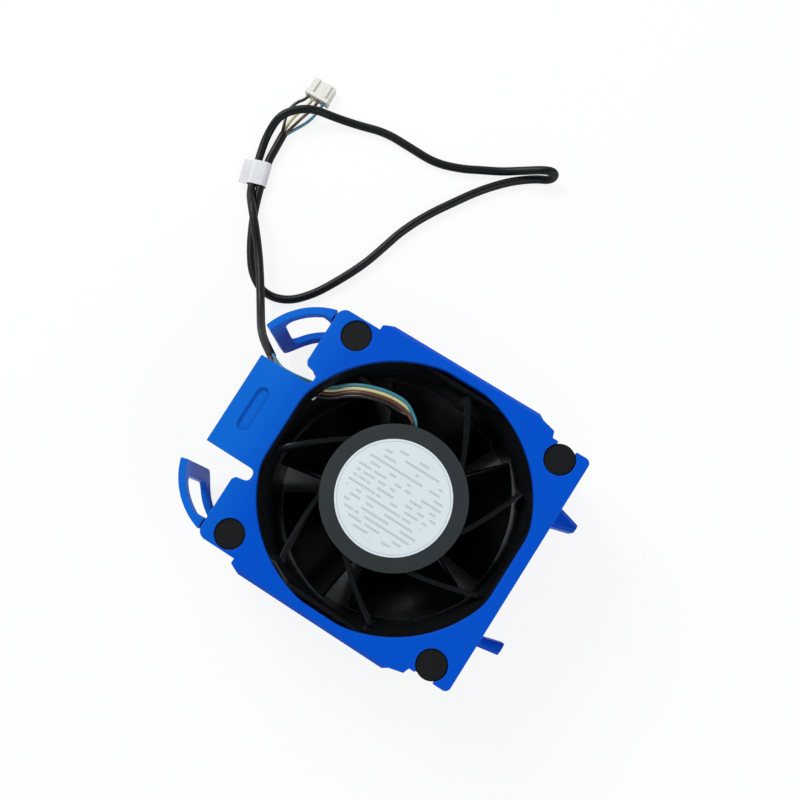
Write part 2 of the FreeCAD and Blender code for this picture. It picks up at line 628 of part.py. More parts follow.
def plate_pad(name, low, thick):
    """A body on the plate's outline with its corners rounded, and the last feature of that body."""
    body = new_body(name)
    plate = pad(body, sketch(body, f"{name}_shape", "XY_Plane", [plate_outline()], low), thick)
    for corner, x, heights, radius in (
            ("left", "-plate_left", ["left_half"], "left_round"),
            ("right", "plate_right", ["plate_half"], "right_round"),
            ("notch", "-plate_left + notch_depth", ["notch_top", "flange_half"], "notch_round")):
        places = [(x, sign + y) for y in heights for sign in ("", "-")]
        plate = rounded(body, f"{name}_{corner}_corners", plate, places, radius)
    return body, plate


def plate_body():
    """The plate, with the outer edges of its bulges broken."""
    body, plate = plate_pad("plate", PLATE_LOW, "plate_thick")
    doc.recompute()
    edges = [f"Edge{i}" for i, edge in enumerate(plate.Shape.Edges, start=1)
             if edge.BoundBox.ZMin > size.carrier_depth - 0.01
             and abs(edge.BoundBox.YMin) > size.bulge_half - 0.01 and edge.BoundBox.YLength < 0.01]
    broken = body.newObject("PartDesign::Chamfer", "plate_edge_break")
    broken.Base = (plate, edges)
    bind(broken, Size="edge_break")
    return body


def end_walls():
    """The walls at the two ends of the fan, which follow the plate's rounded corners."""
    walls = [block("prong_end_wall", "plate_right - carrier_wall", "-plate_half", "0", "carrier_wall",
                   "2 * plate_half", PLATE_LOW)]
    for side, low_y in (("upper", "block_end"), ("lower", "-plate_half")):
        walls.append(block(f"{side}_corner_wall", "-plate_left", low_y, "arm_low",
                           "plate_left - fan_side / 2 - wall_gap", "plate_half - block_end",
                           f"{PLATE_LOW} - arm_low"))
    return common("end_walls", fuse("end_wall_blanks", walls), plate_pad("skirt", "0", PLATE_LOW)[0])


def make_carrier():
    walls = [plate_body(), end_walls()]
    for side, low_y in (("upper", "bulge_half - carrier_wall"), ("lower", "-bulge_half")):
        walls.append(block(f"{side}_side_wall", "-bulge_left", low_y, "0", "bulge_left + bulge_right",
                           "carrier_wall", PLATE_LOW))
    walls.append(block("handle_lip", "-flange_reach", "-flange_half", "carrier_depth - flange_lip",
                       "flange_lip_wall", "2 * flange_half", "flange_lip"))
    for i, low_y in enumerate(("-flange_half", "-flange_half / 3", "flange_half / 3")):
        walls.append(block(f"handle_rib_{i}", "-flange_reach", low_y, "carrier_depth - flange_lip",
                           "flange_reach - plate_left + notch_depth - notch_round - wall_gap / 2",
                           "rib_wall", "flange_lip"))
    walls += [block(f"{side}_lip_{i}", f"{x} - lip_width / 2", y, "0", "lip_width",
                    f"bulge_half - {LIP_EDGE}", "lip_thick")
              for i, x in enumerate(LIP_X) for side, y in (("upper", LIP_EDGE), ("lower", "-bulge_half"))]
    walls += make_prongs()
    cuts = [plate_opening(), grip_slot()] + pad_holes() + knuckle_sockets()
    keep(cut("carrier_cut", fuse("carrier_blank", walls), fuse("carrier_cuts", cuts)), "carrier")


def plate_opening():
    """The air opening: a circle with its four sides drawn in and the corners softened."""
    thick = size.plate_thick + 2
    low = number(f"{PLATE_LOW} - 1")
    shape = Part.makeCylinder(size.open_radius, thick, V(0, 0, low))
    half_x, half_y = size.open_half_x, size.open_half_y
    shape = shape.common(Part.makeBox(2 * half_x, 2 * half_y, thick, V(-half_x, -half_y, low)))
    edges = [edge for edge in shape.Edges
             if edge.BoundBox.ZLength > thick / 2 and edge.BoundBox.XLength < 0.01]
    return solid("opening", shape.makeFillet(size.open_round, edges))


def grip_slot():
    """The shallow groove with round ends for the fingertip on the handle."""
    low = "carrier_depth - grip_depth"
    middle = "-grip_reach + grip_width / 2"
    straight = "(grip_length - grip_width)"
    pieces = [block("grip_middle", "-grip_reach", f"-{straight} / 2", low, "grip_width", straight,
                    "grip_depth + 1")]
    for end, y in (("upper", f"{straight} / 2"), ("lower", f"-{straight} / 2")):
        pieces.append(rod(f"grip_{end}_end", "grip_width / 2", low, "grip_depth + 1", middle, y))
    return fuse("grip_slot", pieces)


def pad_holes():
    """Holes for the isolators; the two at the prong end are open to the edge."""
    half = "hole_pitch / 2"
    low, thick = f"{PLATE_LOW} - 1", "plate_thick + 2"
    holes = []
    for i, (sx, sy) in enumerate((("", ""), ("-", ""), ("-", "-"), ("", "-"))):
        holes.append(rod(f"pad_hole_{i}", "pad_radius + pad_fit", low, thick, sx + half, sy + half))
    for side, y in (("upper", half), ("lower", f"-{half} - pad_fit - pad_radius")):
        holes.append(block(f"{side}_pad_mouth", f"{half} - pad_mouth / 2", y, low, "pad_mouth",
                           "pad_radius + pad_fit", thick))
    return holes


def knuckle_sockets():
    """Round sockets, open towards -X, for the knuckles of the squeeze arms."""
    tools = []
    radius = "knuckle_radius + knuckle_fit"
    for side, sign in (("upper", ""), ("lower", "-")):
        tools.append(rod(f"{side}_socket", radius, "0", PLATE_LOW, "-knuckle_x", sign + "knuckle_y"))
        low_y = "knuckle_y - neck_wall / 2 - 0.5" if sign == "" else "-knuckle_y - neck_wall / 2 - 0.2"
        tools.append(block(f"{side}_socket_mouth", "-plate_left - 1", low_y, "0",
                           "plate_left + 1 - knuckle_x", "neck_wall + 0.7", PLATE_LOW))
    return tools


def make_prongs():
    """The tapered prong and the leaning tab that locate the far end of the carrier."""
    return [solid("upper_prong_body", prong(size.upper_prong_y, size.prong_base, size.prong_tip, 0)),
            solid("lower_prong_body", prong(size.lower_prong_y, size.tab_base, size.tab_tip, size.tab_lean))]


def prong(y, base, tip, lean):
    """One prong from the end wall outwards, as wide as base at its root and tip at its end."""
    x0, x1 = size.plate_right - 0.5, size.plate_right + size.prong_reach
    corners = [V(x0, y - base / 2, 0), V(x1, y + lean - tip / 2, 0), V(x1, y + lean + tip / 2, 0),
               V(x0, y + base / 2, 0)]
    return sloped(prism(list(zip(corners, corners[1:] + corners[:1])), size.prong_low, size.prong_high))


def sloped(prong):
    """Breaks the outer and upper edges of a prong."""
    edges = [edge for edge in prong.Edges if edge.BoundBox.ZMin > size.prong_high - 0.1
             and edge.BoundBox.XMax > size.plate_right + 1 and edge.BoundBox.YLength < edge.BoundBox.XLength]
    return prong.makeChamfer(min(size.prong_tip, size.tab_tip) * 0.45, edges)


# ---- squeeze arms --------------------------------------------------------------------------------

def arm_shape():
    """The +Y arm: a curved leaf standing on edge, with a window, a tip block and a root knuckle."""
    low = size.arm_low
    top = size.carrier_depth - size.arm_drop
    start = V(-size.arm_start_x, size.arm_start_y, 0)
    middle = V(-size.arm_mid_x, size.arm_mid_y, 0)
    end = V(-size.arm_tip_x, size.arm_tip_y, 0)
    outer = Part.Arc(start, middle, end)
    circle = outer.toShape().Curve
    centre, radius = circle.Center, circle.Radius
    shrink = (radius - size.arm_wall) / radius
    inner = [centre + (point - centre) * shrink for point in (end, middle, start)]
    leaf = prism([(start, middle, end), (end, inner[0]), tuple(inner), (inner[2], start)], low, top)
    leaf = leaf.makeFillet(size.arm_tip_round, [edge_near(leaf, (end + inner[0]) / 2 + UP * low)])
    leaf = leaf.cut(Part.makeBox(10, 20, top + 1, V(-size.arm_start_x, size.arm_start_y - 15, 0)))
    root_length = size.arm_root_land + size.window_round
    root = Part.makeBox(root_length, size.arm_wall + 1.3, top - low,
                        V(-size.arm_start_x - root_length, size.arm_start_y - size.arm_wall - 1.3, low))
    root = root.common(Part.makeCylinder(radius, top + 1, V(centre.x, centre.y, 0)))
    knuckle_length = number(PLATE_LOW) - low - 0.3
    knuckle = Part.makeCylinder(size.knuckle_radius, knuckle_length,
                                V(-size.knuckle_x, size.knuckle_y, low))
    neck = Part.makeBox(size.arm_start_x - size.knuckle_x + 1, size.neck_wall, knuckle_length,
                        V(-size.arm_start_x - 1, size.knuckle_y - size.neck_wall / 2, low))
    body = leaf.fuse([root, neck, knuckle]).cut(arm_window(outer, centre, radius, low, top))
    return body.removeSplitter()


def arm_window(outer, centre, radius, low, top):
    """The tool that cuts the arm's window, with round corners, through the whole wall."""
    span = outer.LastParameter - outer.FirstParameter
    first, last = size.arm_root_land / outer.length(), 1 - size.arm_tip_land / outer.length()
    points = [outer.value(outer.FirstParameter + span * share)
              for share in (first, (first + last) / 2, last)]
    reach = 2.5 * size.arm_wall
    far = [centre + (point - centre) * ((radius + 1) / radius) for point in points]
    near = [centre + (point - centre) * ((radius - reach) / radius) for point in reversed(points)]
    window = prism([tuple(far), (far[2], near[0]), tuple(near), (near[2], far[0])],
                   low + size.arm_sill, top - size.arm_lintel)
    corners = [edge_near(window, (a + b) / 2 + UP * z) for a, b in ((far[2], near[0]), (near[2], far[0]))
               for z in (low + size.arm_sill, top - size.arm_lintel)]
    return window.makeFillet(size.window_round, corners)


def edge_near(shape, point):
    """The edge whose middle lies nearest to a point."""
    return min(shape.Edges, key=lambda edge: edge.CenterOfMass.distanceToPoint(point))


def make_arms():
    upper = arm_shape()
    keep(solid("upper_arm_body", upper), "upper_squeeze_arm")
    keep(solid("lower_arm_body", mirrored(upper)), "lower_squeeze_arm")


# ---- isolators -----------------------------------------------------------------------------------

def make_isolators():
    """Rubber plugs: a head in the plate's hole, a neck through the flange and a bulb under it."""
    places = (("", "", "right_upper"), ("-", "", "left_upper"), ("-", "-", "left_lower"),
              ("", "-", "right_lower"))
    for sx, sy, place in places:
        x, y = f"{sx}hole_pitch / 2", f"{sy}hole_pitch / 2"
        parts = [rod(f"{place}_head", "pad_radius", "fan_depth", "carrier_depth - fan_depth - pad_sink",
                     x, y),
                 rod(f"{place}_neck", "isolator_hole - neck_fit", "fan_depth - flange_thick - 0.2",
                     "flange_thick + 0.3", x, y)]
        bulb = doc.addObject("Part::Cone", f"{place}_bulb")
        bind(bulb, Radius1="isolator_hole + bulb_bulge - bulb_taper", Radius2="isolator_hole + bulb_bulge",
             Height="bulb_length", Placement__Base__x=x, Placement__Base__y=y,
             Placement__Base__z="fan_depth - flange_thick - 0.05 - bulb_length")
        keep(fuse(f"{place}_plug", parts + [bulb]), f"isolator_{place}")


# ---- lead, sleeve, tag and connector -------------------------------------------------------------

# Middle of the four wires: out through the side of the motor base as a bundle, over a vane as a flat
# ribbon, through the gate and out under the handle, where they gather into the sleeve.
LEAD_ROUTE = [(-4.8, 17.2, 32.7), (-5.6, 19.8, 33.2), (-6.5, 22.6, 34.3), (-8.6, 24.3, 36.0),
              (-12.2, 25.2, 37.5), (-16.2, 25.3, 37.4), (-20.6, 24.5, 37.4), (-25.4, 22.9, 37.3),
              (-29.6, 20.7, 36.4), (-33.6, 17.5, 34.4), (-37.8, 16.0, 33.9), (-42.6, 15.1, 33.8),
              (-47.6, 14.4, 34.3), (-52.4, 15.4, 33.0), (-57.0, 18.0, 29.4)]
BUNDLED = (0, 1, 2, 3, 13, 14)

# The sleeve: down to the surface, over its own return twice, out to a tight fold and back.
SLEEVE_ROUTE = [(-57.0, 18.0, 29.4), (-62.52, 21.12, 25.08), (-68.0, 25.2, 16.8), (-73.8, 32.0, 9.8),
                (-80.2, 41.0, 7.6), (-86.8, 49.6, 6.2), (-93.2, 57.2, 7.5), (-97.8, 62.2, 7.0),
                (-102.6, 67.2, 1.75), (-107.0, 81.2, 1.75), (-108.2, 88.0, 2.6), (-107.0, 94.4, 5.8),
                (-103.2, 99.2, 6.0), (-98.0, 102.6, 5.8), (-91.0, 105.0, 2.2), (-82.4, 107.0, 1.5),
                (-72.6, 109.7, 1.5), (-62.4, 109.4, 1.5), (-52.0, 109.0, 1.5), (-43.0, 111.8, 1.5),
                (-36.4, 115.2, 1.5), (-30.6, 118.0, 1.6), (-25.6, 120.6, 2.9), (-21.4, 122.4, 4.9),
                (-18.1, 123.8, 6.4), (-15.14, 124.98, 6.54), (-13.74, 125.2, 5.06), (-13.74, 124.67, 2.98),
                (-15.14, 123.7, 1.5), (-18.2, 122.3, 1.5), (-22.2, 119.6, 1.5), (-26.8, 115.8, 1.5),
                (-33.2, 108.6, 1.5), (-38.8, 100.2, 1.5), (-44.4, 91.4, 1.5),
                (-48.8, 82.0, 1.5), (-51.0, 74.0, 1.5), (-53.6, 65.4, 1.5), (-58.2, 55.6, 1.5),
                (-63.2, 46.8, 1.5), (-69.6, 40.2, 1.5), (-77.8, 38.2, 1.5), (-85.2, 41.8, 1.5),
                (-90.8, 49.2, 1.5), (-95.0, 57.0, 1.5), (-98.2, 64.2, 1.75), (-102.6, 78.1, 1.75),
                (-103.2, 84.8, 1.5), (-103.6, 90.8, 1.5)]

# The four wires from the sleeve's end to the connector, passing under the outgoing sleeve.
PLUG_ROUTES = [
    [(-104.2, 90.9, 2.05), (-105.8, 94.6, 0.8), (-107.4, 99.0, 0.6), (-106.2, 103.4, 0.9),
     (-103.8, 105.2, 2.0), (-103.2, 107.2, 2.2)],
    [(-104.2, 90.9, 0.95), (-104.6, 95.2, 0.6), (-103.9, 99.8, 0.6), (-102.0, 103.6, 1.4),
     (-101.2, 107.2, 2.2)],
    [(-103.0, 90.9, 2.05), (-102.4, 95.0, 0.9), (-101.4, 99.8, 0.6), (-99.8, 103.6, 1.4),
     (-99.2, 107.2, 2.2)],
    [(-103.0, 90.9, 0.95), (-101.3, 94.6, 0.6), (-98.9, 98.8, 0.6), (-97.5, 103.2, 1.3),
     (-97.2, 107.2, 2.2)],
]

TAG_CENTRE = V(-102.95, 73.8, 1.75)
TAG_ALONG = V(-0.301, 0.954, 0).normalize()


def lead_wire(index):
    """One wire of the lead: side by side in the ribbon, two by two at the motor base and the sleeve."""
    points = [V(*point) for point in LEAD_ROUTE]
    count = len(points)
    flat = (index - 1.5) * size.wire_step
    gathered = (size.wire_diameter + 0.04) / 2
    route = []
    for i, point in enumerate(points):
        ahead = points[min(i + 1, count - 1)] - points[max(i - 1, 0)]
        across = V(ahead.y, -ahead.x, 0).normalize()
        over = across.cross(ahead).normalize()
        if over.z < 0:
            over = -over
        if i in BUNDLED:
            route.append(point + across * (gathered if index > 1 else -gathered)
                         + over * (gathered if index % 2 else -gathered))
        else:
            route.append(point + across * flat)
    return cord(f"lead wire {index}", [tuple(point) for point in route], size.wire_diameter)


def make_tag():
    """A label folded round both runs of the sleeve, with its flag on the -X side."""
    across = TAG_ALONG.cross(UP)
    inner = size.sleeve_diameter / 2 + size.tag_slack
    outer = inner + size.tag_wall
    apart = size.sleeve_diameter / 2 + 0.22
    half = size.tag_length / 2

    def stadium(radius):
        edges = []
        for side in (1, -1):
            centre = TAG_CENTRE + across * (apart * side)
            edges.append(Part.Arc(centre + UP * (radius * side), centre + across * (radius * side),
                                  centre - UP * (radius * side)).toShape())
            far = TAG_CENTRE - across * (apart * side) - UP * (radius * side)
            edges.append(Part.LineSegment(centre - UP * (radius * side), far).toShape())
        return Part.Face(Part.Wire(edges))

    shell = stadium(outer).cut(stadium(inner))
    shell.translate(TAG_ALONG * -half)
    tag = shell.extrude(TAG_ALONG * size.tag_length)
    flag = Part.makeBox(size.tag_flag + size.tag_wall, size.tag_length, 2 * size.tag_wall)
    flag.translate(V(-size.tag_flag - size.tag_wall, -half, -size.tag_wall))
    flag.rotate(V(0, 0, 0), UP, math.degrees(math.atan2(TAG_ALONG.y, TAG_ALONG.x)) - 90)
    flag.translate(TAG_CENTRE - across * (apart + inner))
    keep(solid("tag", tag.fuse(flag)), "cable_tag")


def make_plug():
    """The connector: a housing with one cavity for each contact, and polarising ribs on top."""
    low_x = "plug_x - plug_width / 2"
    blank = fuse("plug_blank", [
        block("plug_block", low_x, "plug_y", "0", "plug_width", "plug_length", "plug_height - 0.6"),
        block("plug_rib_left", low_x + " + 1.2", "plug_y + 1.4", "0", "1.2", "plug_length - 1.4",
              "plug_height"),
        block("plug_rib_right", low_x + " + plug_width - 2.4", "plug_y + 1.4", "0", "1.2",
              "plug_length - 1.4", "plug_height"),
        block("plug_collar", low_x + " - 0.3", "plug_y", "0", "plug_width + 0.6", "1.4",
              "plug_height - 0.2")])
    cavities, contacts = [], []
    for i in range(int(size.pin_count)):
        middle = f"plug_x + ({i} - (pin_count - 1) / 2) * pin_pitch"
        cavities.append(block(f"cavity_{i}", f"{middle} - pin_width / 2 - cavity_fit", "plug_y + 1.0",
                              "1.5 - cavity_fit", "pin_width + 2 * cavity_fit", "plug_length",
                              "1.4 + 2 * cavity_fit"))
        contacts.append(block(f"contact_{i}", f"{middle} - pin_width / 2", "plug_y + 1.0", "1.5", "pin_width",
                              "plug_length - 1.8", "1.4"))
    keep(cut("plug_cut", blank, fuse("cavities", cavities)), "plug_housing")
    keep(compound("contact_set", contacts), "plug_contacts")


def make_lead():
    keep(solid("lead", Part.makeCompound([lead_wire(i) for i in range(4)])), "lead_wires")
    keep(solid("sleeve", cord("sleeve", SLEEVE_ROUTE, size.sleeve_diameter)), "cable_sleeve")
    keep(solid("plug_tails", Part.makeCompound([cord(f"plug wire {i}", route, size.wire_diameter)
                                                for i, route in enumerate(PLUG_ROUTES)])), "plug_wires")


# ---- build ---------------------------------------------------------------------------------------

def check():
    """Stops with the names of anything that failed or is not a sound solid."""
    doc.recompute()
    bad = [thing.Name for thing in doc.Objects if "Invalid" in thing.State or "Error" in thing.State]
    bad += [thing.Label for thing in sub_parts
            if thing.Shape.isNull() or not thing.Shape.isValid() or not thing.Shape.Solids]
    if bad:
        raise RuntimeError(f"failed: {bad}")


make_fan_housing()
make_label()
make_bearing_tube()
make_bearing("lower", LOW_BEARING)
make_bearing("upper", HIGH_BEARING)
make_shields()
make_shaft_parts()
make_spring()
make_rotor()
make_impeller()
make_stator()
make_board()
make_carrier()
make_arms()
make_isolators()
make_lead()
make_tag()
make_plug()
check()

os.makedirs("parts", exist_ok=True)
for piece in sub_parts:
    print(f"{piece.Label}: {len(piece.Shape.Solids)} solid(s), {piece.Shape.Volume:.1f} mm3")
    piece.Shape.exportStep(f"parts/{piece.Label}.step")
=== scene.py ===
import bmesh
import bpy
import math
from itertools import combinations
from mathutils import Matrix, Vector


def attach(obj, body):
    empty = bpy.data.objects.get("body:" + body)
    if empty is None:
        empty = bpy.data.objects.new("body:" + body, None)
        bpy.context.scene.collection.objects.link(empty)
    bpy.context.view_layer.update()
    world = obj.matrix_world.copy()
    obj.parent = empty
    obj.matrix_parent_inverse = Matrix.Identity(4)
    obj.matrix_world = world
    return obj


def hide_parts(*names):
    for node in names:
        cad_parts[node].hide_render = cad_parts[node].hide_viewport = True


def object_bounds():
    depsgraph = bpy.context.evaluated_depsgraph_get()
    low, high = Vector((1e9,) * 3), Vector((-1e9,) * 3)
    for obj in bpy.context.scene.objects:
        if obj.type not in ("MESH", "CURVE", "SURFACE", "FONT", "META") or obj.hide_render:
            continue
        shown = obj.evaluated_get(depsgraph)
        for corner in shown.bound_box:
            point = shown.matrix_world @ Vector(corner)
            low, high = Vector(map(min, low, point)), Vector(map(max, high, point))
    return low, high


# Server fan module: an axial fan in a clip-in carrier, with its lead, sleeve, tag and connector.
# Metres. The origin is on the fan axis at the rear face, +Z towards the carrier's front plate.

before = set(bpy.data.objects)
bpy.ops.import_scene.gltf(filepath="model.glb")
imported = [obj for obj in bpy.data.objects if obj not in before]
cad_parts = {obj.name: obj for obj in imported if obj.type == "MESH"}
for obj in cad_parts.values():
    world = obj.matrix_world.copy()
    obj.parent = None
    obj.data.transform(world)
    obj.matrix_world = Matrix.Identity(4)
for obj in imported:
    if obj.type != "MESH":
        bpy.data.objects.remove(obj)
cad_low, cad_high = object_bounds()
MM = 0.001

HOLE_PITCH = 71.5     # between the isolators, in millimetres
HEAD_RADIUS = 4.65    # of an isolator's head
HEAD_DEPTH = 3.5      # of an isolator's head below the carrier's front
HEAD_SWELL = 0.16     # by which a head grows to fill its hole

CREASE = 32           # degrees from which an edge stays crisp, and is broken where a piece is soft
SOFT_CREASE = 50      # the same after the edges are broken
CUSP = 25             # degrees under which two edges make a cusp
FLAT = 0.4            # degrees within which faces join into one


# ---- camera and cords ----------------------------------------------------------------------------

def set_camera():
    """Nearly straight down on the front plate, the handle pointing up and to the left."""
    place = Vector((0.01366, -0.0152, 0.3359))
    back = (place - Vector((-0.02266, -0.00058, 0.041))).normalized()
    heading = Matrix.Rotation(math.radians(122.56), 3, "Z") @ Vector((1, 0, 0))
    upward = (heading - back * heading.dot(back)).normalized()
    camera = bpy.data.objects.new("camera", bpy.data.cameras.new("camera"))
    camera.matrix_world = Matrix.LocRotScale(
        place, Matrix((upward.cross(back), upward, back)).transposed().to_quaternion(), None)
    camera.data.lens = 44.38
    camera.data.sensor_width = 36
    camera.data.shift_x = 0.0895
    camera.data.shift_y = 0.0732
    camera.data.clip_start = 0.01
    bpy.context.scene.collection.objects.link(camera)
    bpy.context.scene.camera = camera


def cord(name, route, diameter, finish, steps=10):
    """A round cord on a smooth line through its route, given in millimetres."""
    curve = bpy.data.curves.new(name, "CURVE")
    curve.dimensions = "3D"
    line = curve.splines.new("NURBS")
    line.points.add(len(route) - 1)
    for point, place in zip(line.points, route):
        point.co = (*(Vector(place) * MM), 1)
    line.order_u = 3
    line.use_endpoint_u = True
    line.resolution_u = steps
    curve.bevel_depth = diameter * MM / 2
    curve.bevel_resolution = 5
    curve.use_fill_caps = True
    curve.materials.append(finish)
    made = bpy.data.objects.new(name, curve)
    bpy.context.scene.collection.objects.link(made)
    return made


# ---- finishes ------------------------------------------------------------------------------------

class Value:
    """A quantity that varies over a surface. Arithmetic on it adds Math nodes."""

    def __init__(self, finish, plug):
        self.finish = finish
        self.plug = plug

    def maths(self, operation, first, second=0.0):
        return self.finish.maths(operation, first, second)

    def __add__(self, other):
        return self.maths("ADD", self, other)

    def __sub__(self, other):
        return self.maths("SUBTRACT", self, other)

    def __rsub__(self, other):
        return self.maths("SUBTRACT", other, self)

    def __mul__(self, other):
        return self.maths("MULTIPLY", self, other)

    def __truediv__(self, other):
        return self.maths("DIVIDE", self, other)

    def __pow__(self, other):
        return self.maths("POWER", self, other)

    def __gt__(self, other):
        return self.maths("GREATER_THAN", self, other)

    def __lt__(self, other):
        return self.maths("LESS_THAN", self, other)

    __radd__ = __add__
    __rmul__ = __mul__

    def clamped(self):
        return self.finish.node("Clamp", {}, {"Value": self})

    def size(self):
        return self.maths("ABSOLUTE", self)


class Finish:
    """One material: a Principled shader and the nodes that feed it."""

    def __init__(self, name, **constants):
        self.material = bpy.data.materials.new(name)
        self.material.use_nodes = True
        self.tree = self.material.node_tree
        self.tree.nodes.clear()
        output = self.tree.nodes.new("ShaderNodeOutputMaterial")
        self.shader = self.tree.nodes.new("ShaderNodeBsdfPrincipled")
        self.tree.links.new(self.shader.outputs[0], output.inputs["Surface"])
        self.set(**constants)

    def feed(self, socket, value):
        if isinstance(value, Value):
            self.tree.links.new(value.plug, socket)
        elif socket.type == "RGBA":
            socket.default_value = (*value[:3], 1)
        else:
            socket.default_value = value

    def node(self, kind, settings, sockets, output=0):
        made = self.tree.nodes.new("ShaderNode" + kind)
        for name, value in settings.items():
            setattr(made, name, value)
        for name, value in sockets.items():
            self.feed(made.inputs[name], value)
        return Value(self, made.outputs[output])

    def set(self, **sockets):
        """Sets the shader's sockets: base_color is Base Color."""
        for name, value in sockets.items():
            socket = name.replace("_", " ").title().replace("Ior", "IOR")
            self.feed(self.shader.inputs[socket], value)

    def maths(self, operation, first, second=0.0):
        return self.node("Math", {"operation": operation}, {0: first, 1: second})

    def place(self):
        return self.node("TexCoord", {}, {}, "Object")

    def noise(self, scale, detail=3.0, stretch=(1, 1, 1)):
        """Cloudy noise with features about 1 / scale metres across."""
        spot = self.node("Mapping", {}, {"Vector": self.place(), "Scale": stretch})
        return self.node("TexNoise", {}, {"Vector": spot, "Scale": scale, "Detail": detail,
                                          "Roughness": 0.55})

    def mix(self, share, first, second):
        return self.node("Mix", {"data_type": "RGBA"}, {0: share, 6: first, 7: second}, 2)

    def axis(self, name):
        return self.node("SeparateXYZ", {}, {0: self.place()}, name)

    def bump(self, height, depth):
        """Surface relief, its depth in millimetres."""
        return self.node("Bump", {}, {"Height": height, "Distance": depth * MM, "Strength": 1.0})

    def edges(self, radius):
        """1 along sharp edges, falling to 0 at that radius in millimetres."""
        rounded = self.node("Bevel", {"samples": 6}, {"Radius": radius * MM})
        plain = self.node("NewGeometry", {}, {}, "Normal")
        same = self.node("VectorMath", {"operation": "DOT_PRODUCT"}, {0: rounded, 1: plain},
                         "Value")
        return ((1.0 - same) * 7.0).clamped()


def shade(colour, factor):
    return tuple(channel * factor for channel in colour)


def moulded(name, colour, rough, grain=0.012, spread=0.12):
    """Injection-moulded plastic: faint flow shading and an eggshell grain."""
    made = Finish(name, specular_ior_level=0.5)
    flow = made.noise(26, 2.0, (1, 1, 0.4))
    fine = made.noise(1500, 2.0)
    tone = made.mix(flow, shade(colour, 1 - spread), shade(colour, 1 + spread))
    made.set(base_color=tone, roughness=made.noise(90, 3.0) * 0.16 + (rough - 0.08),
             normal=made.bump(fine * 0.7 + flow * 0.5, grain))
    return made.material


def metal(name, colour, rough, stretch=(1, 1, 1)):
    """Machined or rolled metal with fine marks, which a stretch other than 1 lays one way."""
    made = Finish(name, metallic=1.0)
    marks = made.noise(900, 3.0, stretch)
    made.set(base_color=made.mix(made.noise(60, 3.0), shade(colour, 0.8), shade(colour, 1.1)),
             roughness=marks * 0.22 + (rough - 0.1), normal=made.bump(marks, 0.004))
    return made.material


def soft_skin(name, colour, rough, scale=700, depth=0.02, coat=0.0, gloss=0.5):
    """Vinyl, rubber or wire insulation."""
    made = Finish(name, coat_weight=coat, coat_roughness=0.25, specular_ior_level=gloss)
    skin = made.noise(scale, 3.0)
    patches = made.noise(110, 3.0)
    made.set(base_color=made.mix(patches, shade(colour, 0.82), shade(colour, 1.18)),
             roughness=skin * 0.2 + (rough - 0.1), normal=made.bump(skin * 0.7 + patches, depth))
    return made.material


def carrier_finish():
    """Blue moulding, painted a little paler towards the handle as painted light, with faint flow
    shading and paler edges.
    """
    made = Finish("carrier_plastic", specular_ior_level=0.09)
    flow = made.noise(26, 2.0, (1, 1, 0.4))
    # painted light: towards the handle the blue is mixed paler, standing in for light falling on that
    # side
    handle = ((made.axis("X") + 0.034) / -0.016).clamped()
    body = made.mix(flow, shade(BLUE, 0.94), shade(BLUE, 1.06))
    tone = made.mix(handle, body, HANDLE_PAINTED_LIGHT_BLUE)
    wear = made.edges(0.35) * (0.25 + made.noise(140, 3.0) * 0.4)
    made.set(base_color=made.mix(wear, tone, EDGE_BLUE),
             roughness=made.noise(90, 3.0) * 0.16 + 0.28,
             normal=made.bump(made.noise(1500, 2.0) * 0.7 + flow * 0.5, 0.01))
    return made.material


def fan_finish():
    """Glossy black moulding; the top of the motor base is matt and painted a paler grey-blue, a
    painted sheen of the light from above.
    """
    base_height, base_radius = 0.0365, 0.02295
    made = Finish("fan_plastic", specular_ior_level=0.5)
    x, y = made.axis("X"), made.axis("Y")
    radius = (x * x + y * y) ** 0.5
    # painted sheen: the top of the motor base gets a paler grey-blue for the light it catches from
    # above
    top = (made.axis("Z") > base_height) * (radius < base_radius)
    flow = made.noise(26, 2.0)
    black = made.mix(flow, shade(BLACK, 0.8), shade(BLACK, 1.2))
    painted_sheen = made.mix(flow, (0.013, 0.0175, 0.019), (0.016, 0.0235, 0.0285))
    made.set(base_color=made.mix(top, black, painted_sheen),
             roughness=made.noise(90, 3.0) * 0.14 + top * 0.22 + 0.17,
             normal=made.bump(made.noise(1500, 2.0) * 0.7 + flow * 0.5, 0.006))
    return made.material


def label_finish():
    """Satin film, slightly mottled, with a thin border line and rows of fine grey print marks."""
    border_radius, print_radius = 0.01725, 0.0150
    row_pitch, tick_pitch = 0.0019, 0.00062
    made = Finish("label_film", coat_weight=0.15, coat_roughness=0.35)
    x, y = made.axis("X"), made.axis("Y")
    radius = (x * x + y * y) ** 0.5
    line = (radius - border_radius).size() < 0.00009
    rows = y / row_pitch + 40.5
    row = made.maths("FLOOR", rows)
    in_row = (rows - row - 0.5).size() < 0.19
    words = made.node("CombineXYZ", {}, {"X": x, "Y": row * 0.37, "Z": 0.0})
    word = made.node("TexNoise", {}, {"Vector": words, "Scale": 230, "Detail": 1.0}) > 0.49
    ticks = x / tick_pitch + row * 0.31
    tick = (ticks - made.maths("FLOOR", ticks)) > 0.3
    print_marks = in_row * word * tick * (radius < print_radius)
    tone = made.mix(made.noise(45, 3.0), (0.60, 0.68, 0.71), (0.67, 0.74, 0.765))
    inked = made.mix((line + print_marks).clamped() * 0.55, tone, (0.2, 0.23, 0.25))
    made.set(base_color=inked, roughness=made.noise(400, 3.0) * 0.12 + 0.40,
             normal=made.bump(made.noise(900, 2.0), 0.006))
    return made.material


